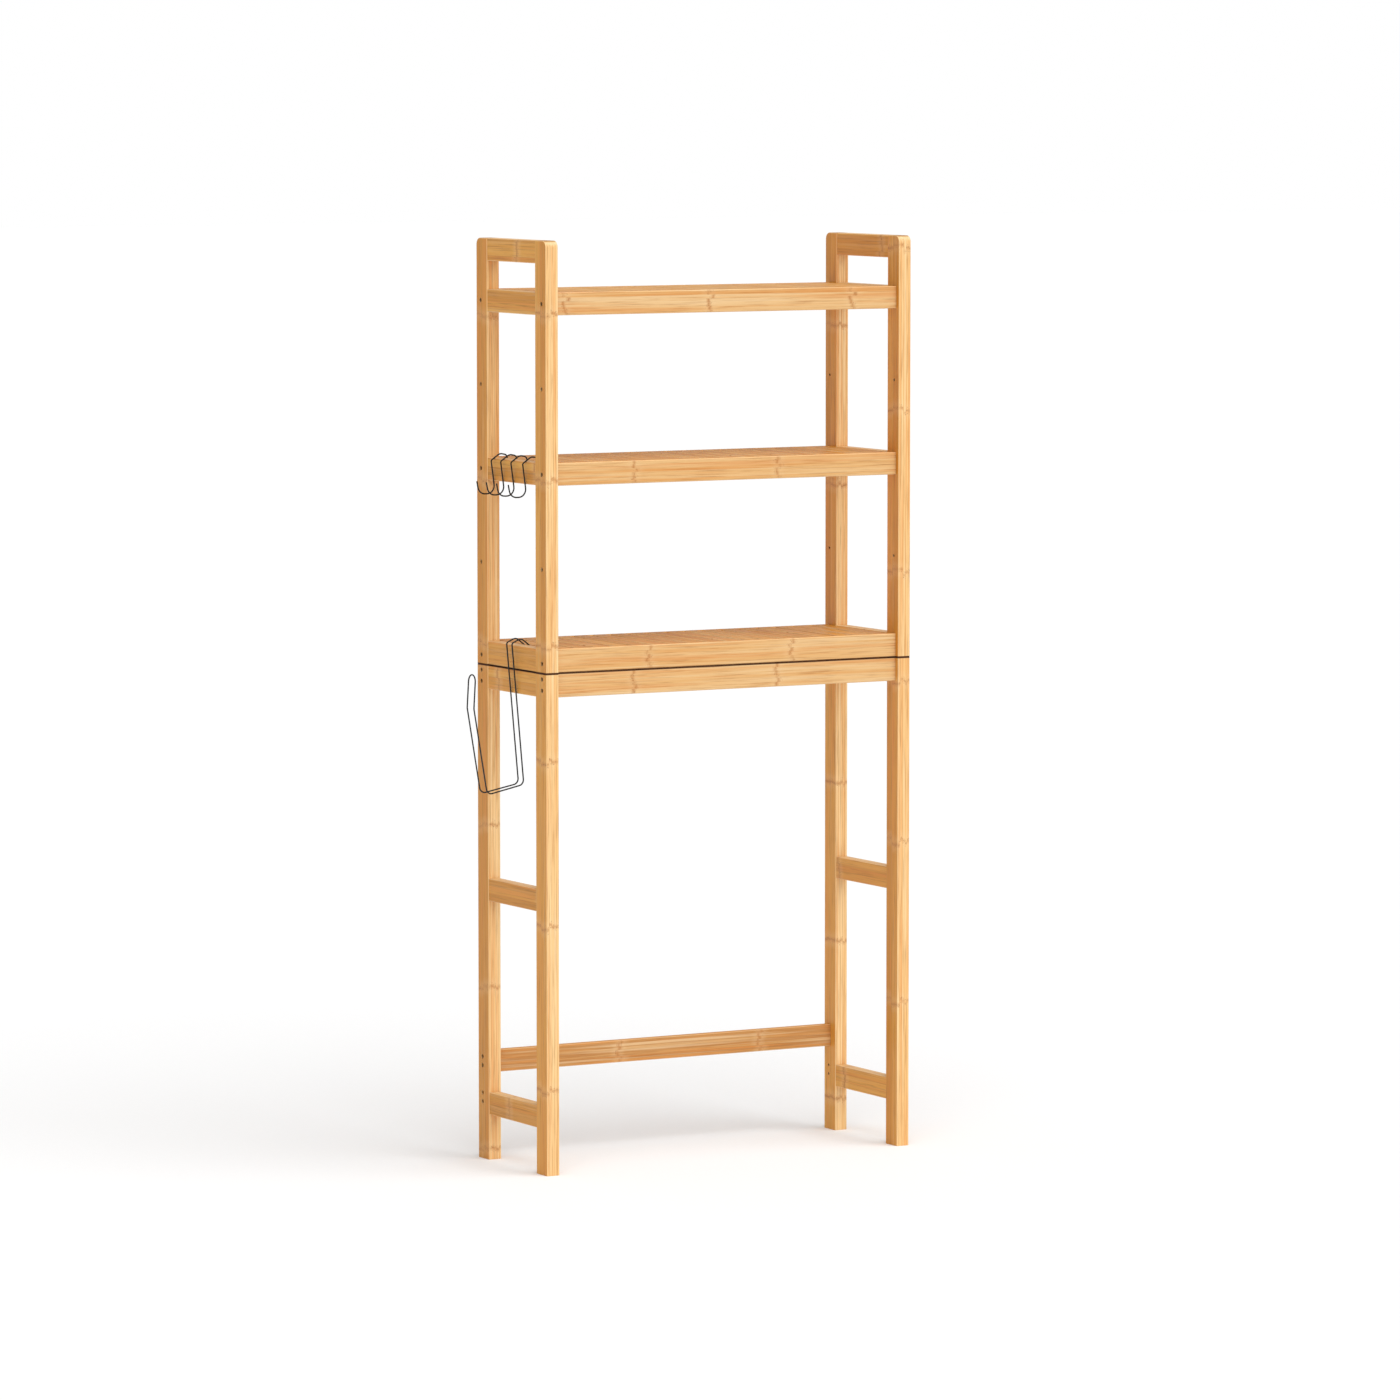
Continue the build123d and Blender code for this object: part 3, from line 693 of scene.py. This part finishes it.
def wireTree():
    # straight runs to a wire: round every corner by its own radius, then give it its thickness
    tree = newTree("bentWire", {"Radius": "Float", "Sides": "Int", "Bend Steps": "Int",
                                "Spacing": "Float", "Tip": "Float", "Material": "Material"})
    given = addNode(tree, "NodeGroupInput").outputs
    curve = addNode(tree, "GeometryNodeMeshToCurve", {0: given["Geometry"]})
    bend = addNode(tree, "GeometryNodeInputNamedAttribute", {0: "bendRadius"}, data_type="FLOAT")
    bent = addNode(tree, "GeometryNodeFilletCurve", {
        0: curve, 1: given["Bend Steps"], 2: bend.outputs[0], 3: True}, mode="POLY")
    even = addNode(tree, "GeometryNodeResampleCurve", {0: bent, 3: given["Spacing"]},
                   mode="LENGTH")
    # tips: the radius follows a quarter circle over the last stretch at both ends
    reached = addNode(tree, "GeometryNodeSplineParameter")
    whole = addNode(tree, "GeometryNodeSplineLength")
    left = addNode(tree, calc, {0: whole.outputs[0], 1: reached.outputs["Length"]},
                   operation="SUBTRACT")
    nearest = addNode(tree, calc, {0: reached.outputs["Length"], 1: left},
                      operation="MINIMUM")
    share = addNode(tree, calc, {0: nearest, 1: given["Tip"]}, operation="DIVIDE")
    short = addNode(tree, calc, {0: 1.0, 1: share}, operation="SUBTRACT",
                    use_clamp=True)
    squared = addNode(tree, calc, {0: short, 1: short}, operation="MULTIPLY")
    rest = addNode(tree, calc, {0: 1.04, 1: squared}, operation="SUBTRACT",
                   use_clamp=True)
    dome = addNode(tree, calc, {0: rest}, operation="SQRT")
    closed = addNode(tree, "FunctionNodeCompare", {0: given["Tip"], 1: 0.0},
                     data_type="FLOAT", operation="LESS_EQUAL")
    size = addNode(tree, "GeometryNodeSwitch", {0: closed, 1: dome, 2: 1.0}, input_type="FLOAT")
    measured = addNode(tree, "GeometryNodeStoreNamedAttribute", {
        0: even, 2: "alongWire", 3: reached.outputs["Length"]}, data_type="FLOAT",
        domain="POINT")
    circle = addNode(tree, "GeometryNodeCurvePrimitiveCircle", {
        0: given["Sides"], 4: given["Radius"]})
    tube = addNode(tree, "GeometryNodeCurveToMesh", {0: measured, 1: circle, 2: size, 3: True})
    endTree(tree, smoothFaces(tree, tube, 1.0), given["Material"])
    return tree


def bendWire(name, tree, setup, points, radii, cyclic, material, node):
    count = len(points)
    edges = [(i, i + 1) for i in range(count - 1)]
    if cyclic:
        edges.append((count - 1, 0))
    start = bpy.data.meshes.new(name + "Path")
    start.from_pydata(points, edges, [])
    start.attributes.new("bendRadius", "FLOAT", "POINT").data.foreach_set(
        "value", [radius * mm for radius in radii])
    piece = runTree(name, tree, start, {
        "Radius": setup["diameter"] / 2 * mm, "Sides": setup["sides"],
        "Bend Steps": setup["bendSteps"], "Spacing": setup["spacing"] * mm,
        "Tip": setup["tipRounding"] * mm, "Material": material})
    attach(piece, node)
    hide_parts(node)
    return piece


bentWire = wireTree()
hookSteel = wireMaterial("blackLacqueredWire", hookWire)
holderSteel = wireMaterial("darkZincWire", holderWire)


def hangHook(number):
    node = f"s_hook_{number}"
    low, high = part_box(node)
    y = (low[1] + high[1]) / 2
    railLow, railHigh = (Vector(corner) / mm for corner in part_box("middle_shelf_rail_left"))
    outer, inner, bottom, top = railLow.x, railHigh.x, railLow.z, railHigh.z
    route = [(inner + 2.9, top - 10.0, 0.0), (inner + 2.9, top + 5.2, 6.0),
             (inner - 11.5, top + 8.2, 12.0), (outer - 7.0, top - 3.8, 4.0),
             (outer + 1.0, bottom - 22.5, 14.0), (outer - 31.0, bottom - 22.5, 14.0),
             (outer - 35.5, bottom + 0.5, 0.0)]
    piece = bendWire(f"sHook{number}", bentWire, hookWire, [(x * mm, y, z * mm) for x, z, _ in route],
                     [radius for _, _, radius in route], False, hookSteel, node)


def hangRollHolder():
    low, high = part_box("roll_holder")
    y = (low[1] + high[1]) / 2
    railLow, railHigh = (Vector(corner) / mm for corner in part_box("lowest_shelf_rail_left"))
    outer, inner, top = railLow.x, railHigh.x, railHigh.z
    leg, prong = holderWire["legAside"], holderWire["prongAside"]
    # each corner: X, distance from the middle plane, Z and bend radius
    route = [(inner + 3.0, leg, top - 16.0, leg - 0.2), (inner + 3.0, leg, top - 1.2, 5.0),
             (inner - 14.0, leg, top + 12.0, 10.0), (outer - 10.5, leg, top + 4.0, 5.0),
             (outer + 12.5, leg, top - 246.0, 10.0), (outer - 61.5, prong, top - 261.0, 10.0),
             (outer - 87.5, prong, top - 108.0, 15.0),
             (outer - 84.0, prong, top - 49.0, prong - 0.2)]
    points = [(x * mm, y + aside * mm, z * mm) for x, aside, z, _ in route]
    points += [(x * mm, y - aside * mm, z * mm) for x, aside, z, _ in reversed(route)]
    radii = [corner[3] for corner in route]
    piece = bendWire("rollHolderWire", bentWire, holderWire, points, radii + radii[::-1], True,
                     holderSteel, "roll_holder")


for number in range(1, 5):
    hangHook(number)
hangRollHolder()
print("four hooks and the roll holder hung")


# dowels and seam pins: turned beech, hidden in their holes

beech = {
    "hexes": ("C99B6B", "DDB687"),
    "fleckHex": "A8754A",
    "grainSpacing": 0.8,          # mm
}


def beechMaterial():
    # turned beech, unlacquered: pinkish straw with short dark flecks
    material, tree, shader, place = startMaterial("turnedBeech")
    grain = addNode(tree, "ShaderNodeTexNoise", {
        "Vector": place.outputs["Object"], "Scale": 1 / (beech["grainSpacing"] * mm * 4),
        "Detail": 3.0})
    flecks = addNode(tree, "ShaderNodeTexVoronoi", {
        "Vector": place.outputs["Object"], "Scale": 1 / (beech["grainSpacing"] * mm)})
    low, high = beech["hexes"]
    tone = addNode(tree, "ShaderNodeMix", {0: grain, 6: hexColour(low), 7: hexColour(high)},
                   data_type="RGBA")
    dark = addNode(tree, remap, {0: flecks, 1: 0.22, 2: 0.10, 3: 0.0, 4: 0.6})
    fleck = addNode(tree, "ShaderNodeMix", {0: dark, 6: tone, 7: hexColour(beech["fleckHex"])},
                    data_type="RGBA")
    tree.links.new(fleck.outputs[2], shader.inputs["Base Color"])
    dry = addNode(tree, remap, {0: grain, 3: 0.6, 4: 0.75})
    tree.links.new(dry.outputs[0], shader.inputs["Roughness"])
    bump = addNode(tree, "ShaderNodeBump", {"Height": grain, "Strength": 0.3,
                                            "Distance": 0.1 * mm})
    tree.links.new(bump.outputs[0], shader.inputs["Normal"])
    return material


giveMaterial(nodeNames("_dowels") + nodeNames("seam_pins"), beechMaterial())
print("beech on the dowels and pins")
